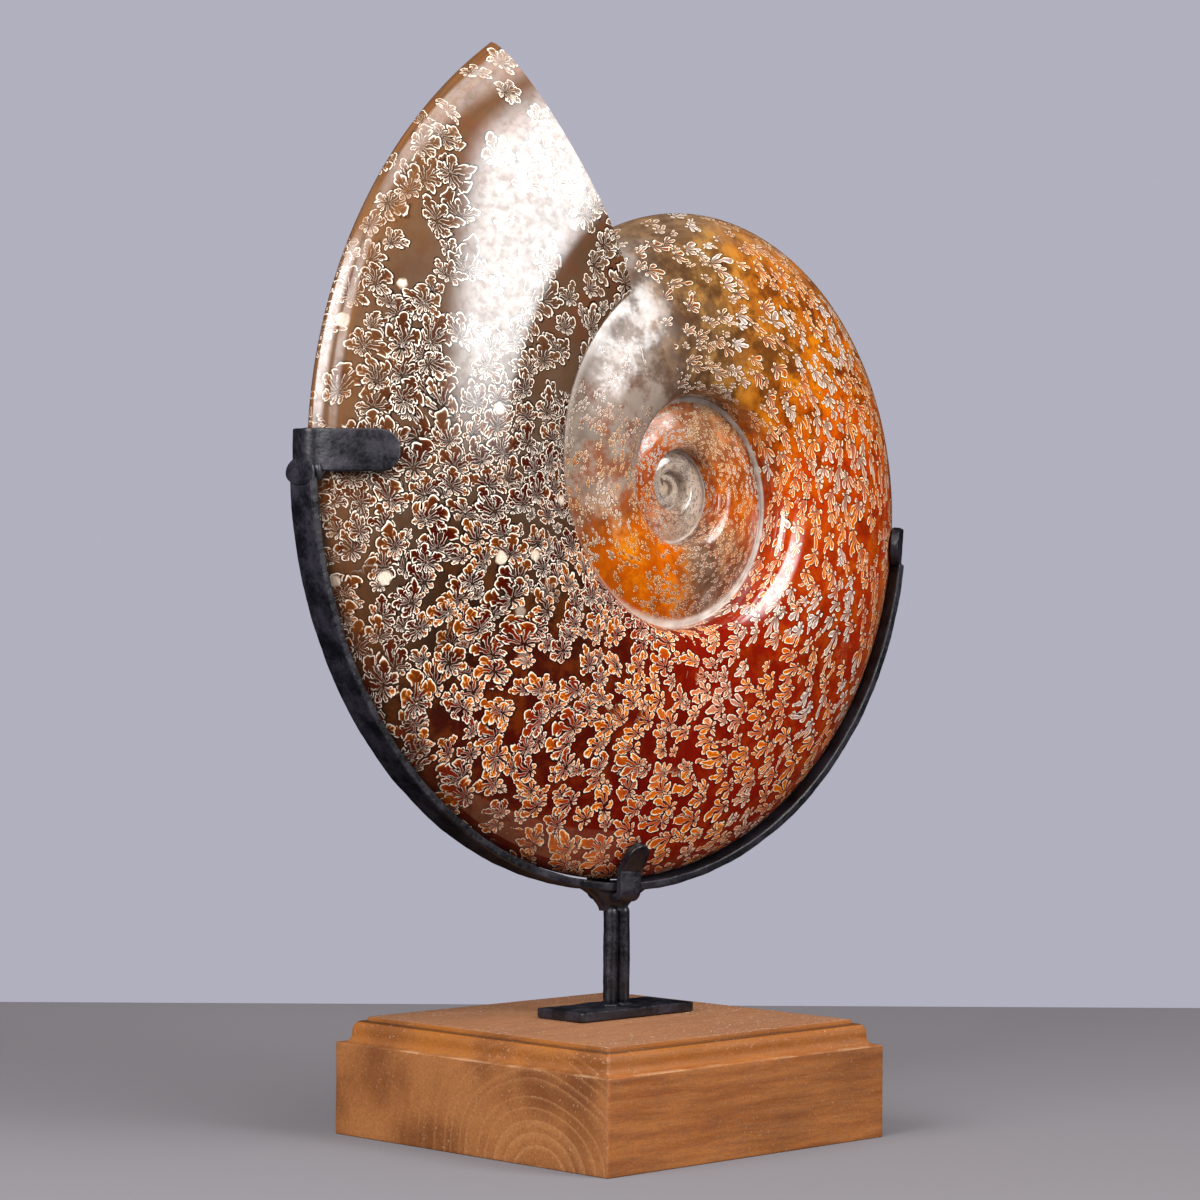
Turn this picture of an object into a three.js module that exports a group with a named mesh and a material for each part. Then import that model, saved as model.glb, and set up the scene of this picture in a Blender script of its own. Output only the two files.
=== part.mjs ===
import * as THREE from "three";
import { mergeVertices } from "three/addons/utils/BufferGeometryUtils.js";

// A polished ammonite held upright in a forged iron cradle on a square wooden plinth.
// Millimetres. +Z is up, -Y is the displayed side, and the origin is the centre of the plinth's underside.
// Angles along the coil are in degrees, measured in the disc's plane from +X towards +Z.
// The coil's angle grows from the aperture inwards: one whorl is 360 degrees.

// Plinth
const BASE_WIDTH = 150;
const BASE_BLOCK_HEIGHT = 35.6;
const LEDGE_WIDTH = 2.2;
const COVE = [2.2, 3.6];
const STRAIGHT_HEIGHT = 0.8;
const OVOLO = [2.8, 3.8];
const STEP_WIDTH = 1.5;
const FILLET_HEIGHT = 1.5;

// Iron stand
const WELD_GAP = 0.3;
const STEM_X = 9.3;
const STEM_Y = 5.7;
const PLATE_SIZE = [61.2, 25.4, 3.9];
const ROD_DIAMETER = 6.1;
const ROD_TOP = 86.4;
const BAR_WIDTH = 13.6;
const BAR_THICKNESS = 3.7;
const BAR_CHAMFER = 0.7;
const BAND_GAP = 0.8;
const CLAW_GAP = 0.9;
const CLAW_HEIGHT = 16;
const CLAW_THICKNESS = 3.9;
const LEFT_CLAW_ANGLE = 177;
const LEFT_CLAW_REACH = 26;
const RIGHT_CLAW_ANGLE = 350.2;
const RIGHT_CLAW_REACH = 10;
const STEM_ANGLE = 261;
const PRONG_WIDTH = 10.5;
const PRONG_REACH = 14.5;
const FLARE_DEPTH = 9;
const FLARE_REACH = 17;

// Ammonite
const DISC_CENTRE = [33.2, 251.6];
const DISC_TURN = -3.4;
const APERTURE_ANGLE = 118;
const VENTER_RADIUS = 193.7;
const VENTER_GROWTH = 0.0991;
const OVAL = 0.0183;
const OVAL_ANGLE = 232.6;
const LEAN = 0.0188;
const LEAN_ANGLE = 282.9;
const SEAM_RADIUS = 79.7;
const SEAM_GROWTH = 0.143;
const THICKNESS_RATIO = 0.26;
const THICKNESS_GAIN = 0.08;
const THICKEST_AT = 0.3;
const WALL_WIDTH = 0.12;
const FLANK_POWER = 1.4;
const KEEL_POWER = 1.6;
const TURNS = 3;
const STEPS_PER_TURN = 72;

const rad = THREE.MathUtils.degToRad;
const TURN = 360;
const BASE_HEIGHT = BASE_BLOCK_HEIGHT + COVE[1] + STRAIGHT_HEIGHT + OVOLO[1] + FILLET_HEIGHT;

// Shell surface

function wrapFreeVenter(angle) {
  const swing = 1 + OVAL * Math.cos(2 * rad(angle - OVAL_ANGLE)) + LEAN * Math.cos(rad(angle - LEAN_ANGLE));
  return VENTER_RADIUS * Math.exp(-VENTER_GROWTH * rad(angle - APERTURE_ANGLE)) * swing;
}

function seamRadius(angle) {
  return SEAM_RADIUS * Math.exp(-SEAM_GROWTH * rad(angle - APERTURE_ANGLE));
}

// Past the first turn the whorls are all alike, so the venter keeps its ratio to the seam.
const FIRST_TURN_END = APERTURE_ANGLE + TURN;
const INNER_RATIO = wrapFreeVenter(FIRST_TURN_END) / seamRadius(FIRST_TURN_END);

function venterRadius(angle) {
  return angle < FIRST_TURN_END ? wrapFreeVenter(angle) : INNER_RATIO * seamRadius(angle);
}

// The share of an inner whorl's height that the next whorl out leaves bare.
const BARE_SHARE = (seamRadius(APERTURE_ANGLE) / seamRadius(FIRST_TURN_END) - 1) / (INNER_RATIO - 1);

function flankHeight(angle, share) {
  const age = THREE.MathUtils.clamp((angle - APERTURE_ANGLE) / TURN, 0, 2.5);
  const tallest = (THICKNESS_RATIO + THICKNESS_GAIN * age) * (venterRadius(angle) - seamRadius(angle));
  if (share <= THICKEST_AT) {
    return tallest * (1 - 0.05 * ((THICKEST_AT - share) / THICKEST_AT) ** 2);
  }
  const outward = Math.min((share - THICKEST_AT) / (1 - THICKEST_AT), 1);
  return tallest * (1 - outward ** FLANK_POWER) ** (1 / KEEL_POWER);
}

// Half thickness of the shell at a place on a whorl: share 0 is the seam, share 1 the venter.
// The umbilical wall is a quarter round that rises from the next whorl in.
function shellHeight(angle, share) {
  const whorlsLeft = (FIRST_TURN_END + TURNS * TURN - angle) / TURN;
  const seamHeight = whorlsLeft > 0 ? shellHeight(angle + TURN, BARE_SHARE * seamFit(angle)) : 0;
  const rise = Math.min(share / WALL_WIDTH, 1);
  const rounding = Math.sqrt(1 - (1 - rise) ** 2);
  return seamHeight + (flankHeight(angle, share) - seamHeight) * rounding;
}

// The seam lies on the next whorl in, at a share that is constant past the first turn.
function seamFit(angle) {
  const inner = angle + TURN;
  const share = (seamRadius(angle) - seamRadius(inner)) / (venterRadius(inner) - seamRadius(inner));
  return share / BARE_SHARE;
}

function shellPoint(angle, share, side) {
  const radius = THREE.MathUtils.lerp(seamRadius(angle), venterRadius(angle), share);
  const height = share >= 1 ? 0 : shellHeight(angle, share);
  return new THREE.Vector3(radius * Math.cos(rad(angle)), side * height, radius * Math.sin(rad(angle)));
}

function solidFromTriangles(positions) {
  const geometry = new THREE.BufferGeometry();
  geometry.setAttribute("position", new THREE.Float32BufferAttribute(positions, 3));
  const merged = mergeVertices(geometry, 1e-3);
  merged.computeVertexNormals();
  return merged;
}

function ammoniteGeometry() {
  const innerShares = [0, 0.025, 0.11, 0.28, 0.5, BARE_SHARE];
  const outerShares = [...innerShares, 0.86, 0.945, 0.985, 1];
  const positions = [];
  const addTriangle = (a, b, c, side) => {
    const corners = side < 0 ? [a, b, c] : [a, c, b];
    corners.forEach((corner) => positions.push(corner.x, corner.y, corner.z));
  };
  const step = TURN / STEPS_PER_TURN;

  for (const side of [-1, 1]) {
    for (let turn = 0; turn < TURNS; turn += 1) {
      const shares = turn === 0 ? outerShares : innerShares;
      for (let i = 0; i < STEPS_PER_TURN; i += 1) {
        const from = APERTURE_ANGLE + turn * TURN + i * step;
        for (let k = 0; k < shares.length - 1; k += 1) {
          const a = shellPoint(from, shares[k], side);
          const b = shellPoint(from, shares[k + 1], side);
          const c = shellPoint(from + step, shares[k + 1], side);
          const d = shellPoint(from + step, shares[k], side);
          addTriangle(a, b, c, side);
          addTriangle(a, c, d, side);
        }
      }
    }
    // The first chamber is a small cone that closes the innermost whorl.
    const hub = new THREE.Vector3(0, side * 1.5, 0);
    const lastTurn = APERTURE_ANGLE + (TURNS - 1) * TURN;
    for (let i = 0; i < STEPS_PER_TURN; i += 1) {
      const from = lastTurn + i * step;
      addTriangle(hub, shellPoint(from, 0, side), shellPoint(from + step, 0, side), side);
    }
    for (let k = 0; k < innerShares.length - 1; k += 1) {
      const near = shellPoint(lastTurn + TURN, innerShares[k], side);
      const far = shellPoint(lastTurn + TURN, innerShares[k + 1], side);
      addTriangle(hub, near, far, side);
    }
  }

  // The aperture is a flat crescent between the last whorl's section and the whorl that it covers.
  const front = outerShares.map((share) => shellPoint(APERTURE_ANGLE, share, -1));
  const back = outerShares.map((share) => shellPoint(APERTURE_ANGLE, share, 1)).reverse().slice(1);
  const covered = outerShares.filter((share) => share > BARE_SHARE);
  const coveredBack = covered.map((share) => shellPoint(FIRST_TURN_END, share, 1));
  const coveredFront = covered.map((share) => shellPoint(FIRST_TURN_END, share, -1)).reverse().slice(1);
  const rim = [...front, ...back, ...coveredBack, ...coveredFront];
  const flat = rim.map((point) => new THREE.Vector2(Math.hypot(point.x, point.z), point.y));
  for (const [i, j, k] of THREE.ShapeUtils.triangulateShape(flat, [])) {
    const corners = [rim[i], rim[j], rim[k]];
    const normal = new THREE.Vector3().crossVectors(
      corners[1].clone().sub(corners[0]),
      corners[2].clone().sub(corners[0]),
    );
    // The coil runs on past the aperture towards smaller angles, so the face looks that way.
    const outward = new THREE.Vector3(Math.sin(rad(APERTURE_ANGLE)), 0, -Math.cos(rad(APERTURE_ANGLE)));
    addTriangle(...corners, normal.dot(outward) > 0 ? -1 : 1);
  }
  return solidFromTriangles(positions);
}

// Iron bars

// A bar with chamfered edges, lofted through stations that each hold a centre, the two
// directions of the section, and its width and thickness.
function barGeometry(stations) {
  const ring = ({ centre, across, through, width, thickness }) => {
    const w = width / 2;
    const t = thickness / 2;
    const c = Math.min(BAR_CHAMFER, w / 2, t / 2);
    const corners = [
      [w, t - c], [w - c, t], [c - w, t], [-w, t - c],
      [-w, c - t], [c - w, -t], [w - c, -t], [w, c - t],
    ];
    return corners.map(([u, v]) => centre.clone().addScaledVector(across, u).addScaledVector(through, v));
  };
  const rings = stations.map(ring);
  const positions = [];
  const add = (...corners) => corners.forEach((corner) => positions.push(corner.x, corner.y, corner.z));
  const count = rings[0].length;
  for (let i = 0; i < rings.length - 1; i += 1) {
    for (let k = 0; k < count; k += 1) {
      const next = (k + 1) % count;
      add(rings[i][k], rings[i][next], rings[i + 1][next]);
      add(rings[i][k], rings[i + 1][next], rings[i + 1][k]);
    }
  }
  const last = rings.length - 1;
  for (let k = 1; k < count - 1; k += 1) {
    add(rings[0][0], rings[0][k + 1], rings[0][k]);
    add(rings[last][0], rings[last][k], rings[last][k + 1]);
  }
  return solidFromTriangles(positions);
}

// Stations along a path. The section's width lies along `across`, its thickness square to both.
function pathStations(points, across, width, thickness) {
  return points.map((centre, i) => {
    const before = points[Math.max(i - 1, 0)];
    const after = points[Math.min(i + 1, points.length - 1)];
    const travel = after.clone().sub(before).normalize();
    const through = travel.clone().cross(across).normalize();
    return { centre, across, through, width: width(i), thickness };
  });
}

const DEPTH = new THREE.Vector3(0, 1, 0);
const UP = new THREE.Vector3(0, 0, 1);

function discPoint(angle, radius, y = 0) {
  return new THREE.Vector3(radius * Math.cos(rad(angle)), y, radius * Math.sin(rad(angle)));
}

function degreesOfArc(length, angle) {
  return THREE.MathUtils.radToDeg(length / venterRadius(angle));
}

function bandGeometry() {
  const steps = 40;
  const margin = CLAW_HEIGHT / 2 + WELD_GAP;
  const start = LEFT_CLAW_ANGLE + degreesOfArc(margin, LEFT_CLAW_ANGLE);
  const end = RIGHT_CLAW_ANGLE - degreesOfArc(margin, RIGHT_CLAW_ANGLE);
  const points = [];
  for (let i = 0; i <= steps; i += 1) {
    const angle = THREE.MathUtils.lerp(start, end, i / steps);
    points.push(discPoint(angle, venterRadius(angle) + BAND_GAP + BAR_THICKNESS / 2));
  }
  return barGeometry(pathStations(points, DEPTH, () => BAR_WIDTH, BAR_THICKNESS));
}

// Width of a bar whose end is rounded off: full until the last half width, then a half circle.
function roundedEnd(distanceToEnd, width) {
  const half = width / 2;
  const into = Math.max(half - distanceToEnd, 0);
  return Math.max(2 * Math.sqrt(Math.max(half * half - into * into, 0)), 1.2);
}

// Half thickness of the shell over any place in the disc's plane that the last whorl covers.
function flankAt(x, z) {
  const radius = Math.hypot(x, z);
  const around = THREE.MathUtils.euclideanModulo(THREE.MathUtils.radToDeg(Math.atan2(z, x)), TURN);
  const angle = around < APERTURE_ANGLE ? around + TURN : around;
  const share = (radius - seamRadius(angle)) / (venterRadius(angle) - seamRadius(angle));
  return share < 1 ? shellHeight(angle, share) : 0;
}

// A claw is one flat bar bent to a U around the venter, with an arm on each flank.
// `under` is how far its middle line passes outside the venter, `shoulder` the half width of the
// U's flat back and `reach` how far its arms run in from the venter.
function clawGeometry({ angle, under, shoulder, reach, width, thickness }) {
  const bottom = discPoint(angle, venterRadius(angle));
  const along = discPoint(angle + 1, venterRadius(angle + 1)).sub(bottom).normalize();
  const inward = along.clone().cross(DEPTH).normalize();
  const place = (depth, y) => bottom.clone().addScaledVector(inward, depth).addScaledVector(DEPTH, y);
  const armAt = (depth) => {
    const across = [-0.5, 0, 0.5].map((part) => place(depth, 0).addScaledVector(along, part * width));
    const flank = Math.max(...across.map((point) => flankAt(point.x, point.z)));
    return Math.max(flank + CLAW_GAP + thickness / 2, shoulder);
  };
  const bend = 1.4;
  const half = [[-under, 0], [-under, shoulder - bend], [-under + bend, shoulder]];
  const armSteps = 6;
  for (let i = 0; i <= armSteps; i += 1) {
    const depth = THREE.MathUtils.lerp(1.5, reach, i / armSteps);
    half.push([depth, armAt(depth)]);
  }
  const outline = [
    ...half.slice(1).reverse().map(([depth, y]) => place(depth, -y)),
    ...half.map(([depth, y]) => place(depth, y)),
  ];
  const steps = 44;
  const points = new THREE.CatmullRomCurve3(outline, false, "centripetal").getSpacedPoints(steps);
  const length = points.slice(1).reduce((sum, point, i) => sum + point.distanceTo(points[i]), 0);
  const barWidth = (i) => roundedEnd((Math.min(i, steps - i) / steps) * length, width);
  return barGeometry(pathStations(points, along, barWidth, thickness));
}

// Stem, plate and plinth

function flareGeometry() {
  const middle = discPoint(STEM_ANGLE, venterRadius(STEM_ANGLE));
  const underBand = (x) => {
    const angle = TURN - THREE.MathUtils.radToDeg(Math.acos(x / venterRadius(STEM_ANGLE)));
    const radius = venterRadius(angle) + BAND_GAP + BAR_THICKNESS + WELD_GAP;
    return -Math.sqrt(radius * radius - x * x);
  };
  const notch = PRONG_WIDTH / 2 + WELD_GAP;
  const notchDrop = BAR_THICKNESS + 2 * WELD_GAP;
  const foot = ROD_DIAMETER + WELD_GAP / 2;
  const floor = ROD_TOP + WELD_GAP - DISC_CENTRE[1];
  const left = middle.x - FLARE_REACH;
  const right = middle.x + FLARE_REACH;
  const shape = new THREE.Shape();
  shape.moveTo(middle.x - foot, floor);
  shape.lineTo(middle.x + foot, floor);
  shape.quadraticCurveTo(middle.x + foot + 2, floor + 4, right, underBand(right) - 1);
  shape.lineTo(right, underBand(right));
  shape.lineTo(middle.x + notch, underBand(middle.x + notch));
  shape.lineTo(middle.x + notch, underBand(middle.x + notch) - notchDrop);
  shape.lineTo(middle.x - notch, underBand(middle.x - notch) - notchDrop);
  shape.lineTo(middle.x - notch, underBand(middle.x - notch));
  shape.lineTo(left, underBand(left));
  shape.lineTo(left, underBand(left) - 1);
  shape.quadraticCurveTo(middle.x - foot - 2, floor + 4, middle.x - foot, floor);
  const extrusion = { depth: FLARE_DEPTH, bevelEnabled: false, curveSegments: 8 };
  const geometry = new THREE.ExtrudeGeometry(shape, extrusion);
  geometry.rotateX(Math.PI / 2);
  geometry.translate(0, FLARE_DEPTH / 2, 0);
  return geometry;
}

// A square block with a moulded top edge: a turned profile in four segments, with mitred corners.
// From the block up: a flat ledge, a cove, a straight, an ovolo, a step and a fillet.
function baseGeometry() {
  const half = BASE_WIDTH / 2;
  const profile = [[0, 0], [half, 0], [half, BASE_BLOCK_HEIGHT]];
  const arcSteps = 6;
  const quarter = (i) => (Math.PI / 2) * (i / arcSteps);
  const coveTop = BASE_BLOCK_HEIGHT + COVE[1];
  for (let i = 0; i <= arcSteps; i += 1) {
    const inset = LEDGE_WIDTH + COVE[0] * Math.sin(quarter(i));
    profile.push([half - inset, coveTop - COVE[1] * Math.cos(quarter(i))]);
  }
  const ovoloFoot = coveTop + STRAIGHT_HEIGHT;
  const ovoloInset = LEDGE_WIDTH + COVE[0] + OVOLO[0];
  for (let i = 0; i <= arcSteps; i += 1) {
    const inset = ovoloInset - OVOLO[0] * Math.cos(quarter(i));
    profile.push([half - inset, ovoloFoot + OVOLO[1] * Math.sin(quarter(i))]);
  }
  const topHalf = half - ovoloInset - STEP_WIDTH;
  profile.push([topHalf, BASE_HEIGHT - FILLET_HEIGHT], [topHalf, BASE_HEIGHT], [0, BASE_HEIGHT]);
  const points = profile.map(([x, z]) => new THREE.Vector2(x * Math.SQRT2, z));
  const geometry = new THREE.LatheGeometry(points, 4, Math.PI / 4);
  geometry.rotateX(Math.PI / 2);
  return geometry;
}

function rodGeometry(length) {
  const geometry = new THREE.CylinderGeometry(ROD_DIAMETER / 2, ROD_DIAMETER / 2, length, 24);
  geometry.rotateX(Math.PI / 2);
  return geometry;
}

// Materials

const material = (color, roughness, metalness) => {
  return () => new THREE.MeshStandardMaterial({ color, roughness, metalness });
};
const shellMaterial = material(0x9a5a34, 0.16, 0);
const ironMaterial = material(0x17181c, 0.5, 0.3);
const woodMaterial = material(0x8a5c36, 0.6, 0);

function piece(name, geometry, surface) {
  const mesh = new THREE.Mesh(geometry, surface);
  mesh.name = name;
  return mesh;
}

// Assembly

const object = new THREE.Group();

const disc = new THREE.Group();
disc.position.set(DISC_CENTRE[0], STEM_Y, DISC_CENTRE[1]);
disc.rotation.z = rad(DISC_TURN);
object.add(disc);

disc.add(piece("ammonite", ammoniteGeometry(), shellMaterial()));
disc.add(piece("cradle_band", bandGeometry(), ironMaterial()));

const aroundVenter = { under: BAND_GAP + CLAW_THICKNESS / 2, shoulder: (BAR_WIDTH - CLAW_THICKNESS) / 2 };
const claws = {
  left_claw: {
    ...aroundVenter,
    angle: LEFT_CLAW_ANGLE,
    reach: LEFT_CLAW_REACH,
    width: CLAW_HEIGHT,
    thickness: CLAW_THICKNESS,
  },
  right_claw: {
    ...aroundVenter,
    angle: RIGHT_CLAW_ANGLE,
    reach: RIGHT_CLAW_REACH,
    width: CLAW_HEIGHT,
    thickness: CLAW_THICKNESS,
  },
  bottom_claw: {
    angle: STEM_ANGLE,
    under: BAND_GAP + BAR_THICKNESS + WELD_GAP + BAR_THICKNESS / 2,
    shoulder: (BAR_WIDTH + BAR_THICKNESS) / 2 + WELD_GAP,
    reach: PRONG_REACH,
    width: PRONG_WIDTH,
    thickness: BAR_THICKNESS,
  },
};
for (const [name, claw] of Object.entries(claws)) {
  disc.add(piece(name, clawGeometry(claw), ironMaterial()));
}
disc.add(piece("weld_flare", flareGeometry(), ironMaterial()));

const plateBottom = BASE_HEIGHT + WELD_GAP;
const plate = piece("foot_plate", new THREE.BoxGeometry(...PLATE_SIZE), ironMaterial());
plate.position.set(STEM_X, STEM_Y, plateBottom + PLATE_SIZE[2] / 2);
object.add(plate);

const rodBottom = plateBottom + PLATE_SIZE[2] + WELD_GAP;
const rodLength = ROD_TOP - rodBottom;
for (const [side, name] of [[-1, "stem_rod_left"], [1, "stem_rod_right"]]) {
  const rod = piece(name, rodGeometry(rodLength), ironMaterial());
  rod.position.set(STEM_X + side * (ROD_DIAMETER + WELD_GAP) / 2, STEM_Y, rodBottom + rodLength / 2);
  object.add(rod);
}

object.add(piece("wood_base", baseGeometry(), woodMaterial()));

export default object;
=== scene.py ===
"""A polished ammonite held upright in a forged iron cradle on a moulded wooden plinth.

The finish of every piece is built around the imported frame. Driving dimensions are in the
model's own millimetres and degrees, and each mesh is turned into metres when it is made.
Angles along the coil grow from the aperture inwards; one whorl is 360 degrees.
"""

import math

import bmesh
import bpy
import numpy as np
from mathutils import Matrix, Vector


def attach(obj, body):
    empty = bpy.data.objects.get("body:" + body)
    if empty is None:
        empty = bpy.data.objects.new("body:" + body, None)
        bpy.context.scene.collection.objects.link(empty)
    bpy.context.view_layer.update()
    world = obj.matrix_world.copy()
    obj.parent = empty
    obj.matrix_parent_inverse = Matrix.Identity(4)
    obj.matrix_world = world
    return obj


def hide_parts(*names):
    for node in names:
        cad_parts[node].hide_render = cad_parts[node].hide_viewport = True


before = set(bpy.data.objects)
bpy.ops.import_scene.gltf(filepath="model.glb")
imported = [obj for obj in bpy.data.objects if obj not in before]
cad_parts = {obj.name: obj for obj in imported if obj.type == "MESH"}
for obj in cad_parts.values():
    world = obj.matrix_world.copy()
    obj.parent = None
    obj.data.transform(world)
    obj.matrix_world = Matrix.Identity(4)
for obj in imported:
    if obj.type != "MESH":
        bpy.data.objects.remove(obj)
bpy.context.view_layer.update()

MM = 0.001

# Ammonite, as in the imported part
DISC_CENTRE = (33.2, 5.7, 251.6)
DISC_TURN = -3.4
APERTURE_ANGLE = 118
VENTER_RADIUS = 193.7
VENTER_GROWTH = 0.0991
OVAL = 0.0183
OVAL_ANGLE = 232.6
LEAN = 0.0188
LEAN_ANGLE = 282.9
SEAM_RADIUS = 79.7
SEAM_GROWTH = 0.143
THICKNESS_RATIO = 0.26
THICKNESS_GAIN = 0.08
THICKEST_AT = 0.3
GAIN_TURNS = 2.5
SEAM_THINNING = 0.05
FLANK_POWER = 1.4
KEEL_POWER = 1.6
TURN = 360

# Wall of the umbilicus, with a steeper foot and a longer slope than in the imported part
WALL_WIDTH = 0.14
SLOPE_POWER = 1.5
FOOT_WIDTH = 0.04
FOOT_SHARE = 0.8

# Mesh of the ammonite
TURNS = 4
STEPS_PER_TURN = 288
WALL_POINTS = 9
FLANK_STEPS = 20
KEEL_POINTS = 31
KEEL_CROWDING = 1.8
APERTURE_POINTS = 13
HUB_DEPTH = 0.8
# The aperture's face has its own stretch of U, which starts here and counts the way in
APERTURE_U = -2
APERTURE_U_PER_MM = 0.01

# Iron stand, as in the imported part
BAR_WIDTH = 13.6
BAR_THICKNESS = 3.7
BAR_ROUNDING = 0.9
BAND_GAP = 0.8
WELD_GAP = 0.3
CLAW_GAP = 0.9
CLAW_HEIGHT = 16
CLAW_THICKNESS = 3.9
LEFT_CLAW_ANGLE = 177
LEFT_CLAW_REACH = 26
RIGHT_CLAW_ANGLE = 350.2
RIGHT_CLAW_REACH = 10
STEM_ANGLE = 261
PRONG_WIDTH = 10.5
PRONG_REACH = 14.5
FLARE_DEPTH = 9
FLARE_REACH = 17
STEM_X = 9.3
STEM_Y = 5.7
ROD_DIAMETER = 6.1
ROD_TOP = 86.4
PLATE_SIZE = (61.2, 25.4, 3.9)

# Plinth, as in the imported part
BASE_WIDTH = 150
BASE_BLOCK_HEIGHT = 35.6
LEDGE_WIDTH = 2.2
COVE = (2.2, 3.6)
STRAIGHT_HEIGHT = 0.8
OVOLO = (2.8, 3.8)
STEP_WIDTH = 1.5
FILLET_HEIGHT = 1.5
BASE_HEIGHT = BASE_BLOCK_HEIGHT + COVE[1] + STRAIGHT_HEIGHT + OVOLO[1] + FILLET_HEIGHT
CORNER_ROUNDING = 0.9
WORN_EDGE = 0.5
# The middle of the year rings, by its Y and height, and the mean width of a ring
PITH = (-40, -6)
RING_SPACING = 5

# Camera, from a fit to the plinth's corners and the shell's outline
CAMERA_PLACE = (-0.98036, -0.98744, 0.20596)
CAMERA_AZIMUTH = 44.61
CAMERA_PITCH = 0.036
CAMERA_ROLL = 0.294
CAMERA_LENS = 108
SENSOR_WIDTH = 36


# Small tools


def radians(degrees):
    return np.radians(degrees)


def mix(low, high, share):
    return low + (high - low) * share


def clamp01(value):
    return np.clip(value, 0, 1)


def joined(*parts):
    """Points from their coordinates, each a number or an array."""
    return np.stack(np.broadcast_arrays(*parts), -1)


def smooth(value):
    """Smooth step from 0 to 1."""
    t = clamp01(value)
    return t * t * (3 - 2 * t)


def lumps(points, size, seed):
    """Soft lumps about `size` across, from -1 to 1: a sum of sine waves in seeded directions."""
    waves = 28
    random = np.random.default_rng(seed)
    direction = random.normal(size=(waves, 3))
    direction /= np.linalg.norm(direction, axis=1, keepdims=True)
    length = size * random.uniform(0.7, 1.6, waves)
    phase = random.uniform(0, math.tau, waves)
    wave = np.sin(points @ (direction * (math.tau / length)[:, None]).T + phase)
    return wave.sum(-1) / math.sqrt(waves)


# How far a surface is set in, then the size and height of its lumps, in millimetres
FORGED = (0.16, (17, 0.1), (4.5, 0.045))
WELDED = (0.15, (7, 0.22))
WORN = (0.12, (30, 0.05), (6, 0.035))


def relief(points, surface, seed):
    """How far each point moves out: the lumps of each size, less the depth that they are set in."""
    inset, *layers = surface
    heights = [height * lumps(points, size, seed + k) for k, (size, height) in enumerate(layers)]
    return sum(heights) - inset


def make_piece(name, node, finish, patches, crease=40):
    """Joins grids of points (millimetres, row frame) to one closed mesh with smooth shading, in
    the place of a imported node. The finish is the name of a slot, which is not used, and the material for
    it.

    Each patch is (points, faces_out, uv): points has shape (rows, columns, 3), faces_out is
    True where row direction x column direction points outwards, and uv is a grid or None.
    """
    points, faces, coords, start = [], [], [], 0
    for grid, faces_out, uv in patches:
        rows, columns = grid.shape[:2]
        index = start + np.arange(rows * columns).reshape(rows, columns)
        a, b = index[:-1, :-1], index[1:, :-1]
        c, d = index[1:, 1:], index[:-1, 1:]
        corners = (a, b, c, d) if faces_out else (a, d, c, b)
        quads = np.stack(corners, -1).reshape(-1, 4)
        points.append(grid.reshape(-1, 3))
        faces.append(quads)
        coords.append(np.zeros((rows * columns, 2)) if uv is None else uv.reshape(-1, 2))
        start += rows * columns
    points, faces, coords = map(np.concatenate, (points, faces, coords))
    mesh = bpy.data.meshes.new(name)
    mesh.from_pydata(points * MM, [], faces.tolist())
    layer = mesh.uv_layers.new(name="place")
    layer.data.foreach_set("uv", coords[faces.reshape(-1)].astype(np.float32).reshape(-1))
    bm = bmesh.new()
    bm.from_mesh(mesh)
    bmesh.ops.remove_doubles(bm, verts=bm.verts, dist=1e-6)
    bmesh.ops.dissolve_degenerate(bm, edges=bm.edges, dist=1e-7)
    bm.to_mesh(mesh)
    bm.free()
    mesh.polygons.foreach_set("use_smooth", np.ones(len(mesh.polygons), bool))
    mesh.set_sharp_from_angle(angle=math.radians(crease))
    piece = bpy.data.objects.new(name, mesh)
    bpy.context.scene.collection.objects.link(piece)
    slot, material = finish
    mesh.materials.append(material)
    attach(piece, "root")
    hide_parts(node)


# Shell surface


def free_venter(angle):
    """Radius of the keel where no whorl lies over it: a spiral, a little oval and off centre."""
    swing = 1 + OVAL * np.cos(2 * radians(angle - OVAL_ANGLE)) + LEAN * np.cos(radians(angle - LEAN_ANGLE))
    return VENTER_RADIUS * np.exp(-VENTER_GROWTH * radians(angle - APERTURE_ANGLE)) * swing


def seam_radius(angle):
    """Radius of the line where a whorl meets the next one in: a logarithmic spiral."""
    return SEAM_RADIUS * np.exp(-SEAM_GROWTH * radians(angle - APERTURE_ANGLE))


FIRST_TURN_END = APERTURE_ANGLE + TURN
INNER_RATIO = free_venter(FIRST_TURN_END) / seam_radius(FIRST_TURN_END)
BARE_SHARE = (seam_radius(APERTURE_ANGLE) / seam_radius(FIRST_TURN_END) - 1) / (INNER_RATIO - 1)


def venter_radius(angle):
    """Radius of the keel. From the second whorl on it keeps one ratio to the seam's radius."""
    return np.where(angle < FIRST_TURN_END, free_venter(angle), INNER_RATIO * seam_radius(angle))


def seam_fit(angle):
    """Where the seam lies on the next whorl in, against where it lies at the aperture."""
    inner = angle + TURN
    share = (seam_radius(angle) - seam_radius(inner)) / (venter_radius(inner) - seam_radius(inner))
    return share / BARE_SHARE


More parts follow.
